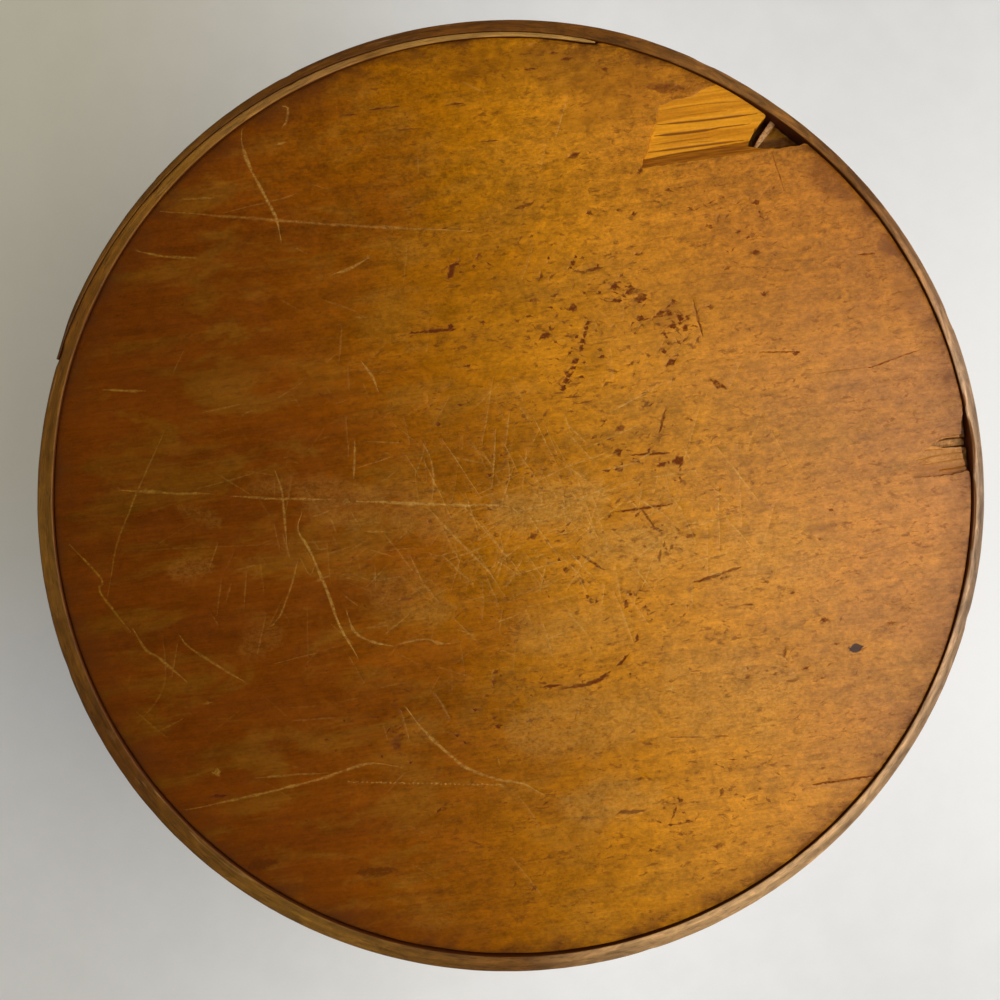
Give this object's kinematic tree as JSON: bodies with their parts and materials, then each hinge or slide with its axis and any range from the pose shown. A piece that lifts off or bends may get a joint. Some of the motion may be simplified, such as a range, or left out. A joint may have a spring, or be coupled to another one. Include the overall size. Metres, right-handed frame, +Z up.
{
  "type": "round bentwood pantry box",
  "caption": "Round wooden pantry box with a lift-off lid: pine boards pegged into bent hoops whose skived ends lap and are tacked.",
  "frame": {"origin": "on the table, under the middle of the box", "axes": "+Z up along the box's axis; +Y towards the top of the picture, +X towards its right"},
  "size_m": [0.3, 0.3016, 0.1548],
  "materials": {
    "hoop_wood": "worn, hand-rubbed hardwood strip",
    "board_wood": "old shellacked pine, scratched and stained",
    "peg_wood": "bare split hardwood",
    "tack_iron": "dark oxidised iron"
  },
  "bodies": {
    "box": {"box_side_strip": "hoop_wood", "box_bottom_board": "board_wood", "box_bottom_pegs": "peg_wood", "box_lap_tacks": "tack_iron"},
    "lid": {"lid_rim_strip": "hoop_wood", "lid_board": "board_wood", "lid_pegs": "peg_wood", "split_peg_long_chip": "peg_wood", "split_peg_short_chip": "peg_wood", "lid_lap_tacks": "tack_iron"}
  },
  "joints": [
    {"name": "lid_lift", "type": "slide", "parent": "box", "child": "lid", "axis": [0, 0, 1], "range_m": [0, 0.18]}
  ]
}
